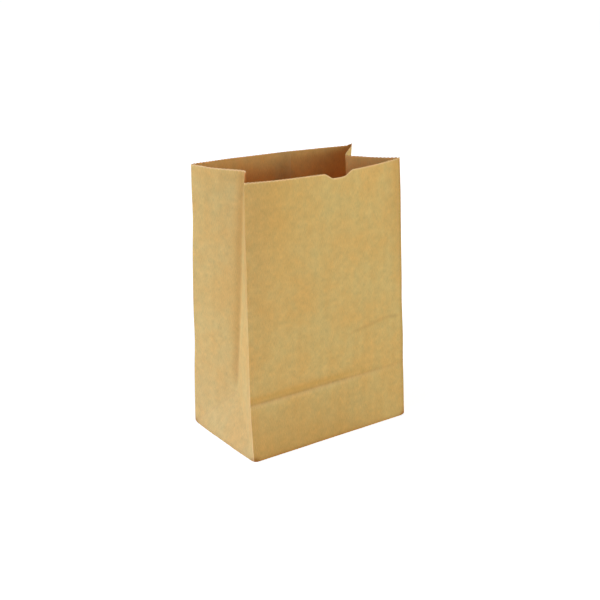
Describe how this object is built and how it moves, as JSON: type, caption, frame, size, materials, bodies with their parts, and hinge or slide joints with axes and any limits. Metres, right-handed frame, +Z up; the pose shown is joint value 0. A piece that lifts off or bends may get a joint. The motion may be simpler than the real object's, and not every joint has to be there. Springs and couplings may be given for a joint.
{
  "type": "brown paper lunch bag",
  "caption": "Brown kraft paper lunch bag standing open, with a square block bottom, pleated side gussets, a toothed top edge and a thumb notch in the front panel.",
  "frame": {"origin": "middle of the square bottom, on the surface that the bag stands on", "axes": "+Z up to the open mouth, -Y towards the front panel with the thumb notch, X across the panels"},
  "size_m": [0.1522, 0.0905, 0.214],
  "materials": {
    "kraft_paper": "uncoated brown kraft paper, matt"
  },
  "bodies": {
    "root": {"paper_bag": "kraft_paper"}
  },
  "joints": []
}
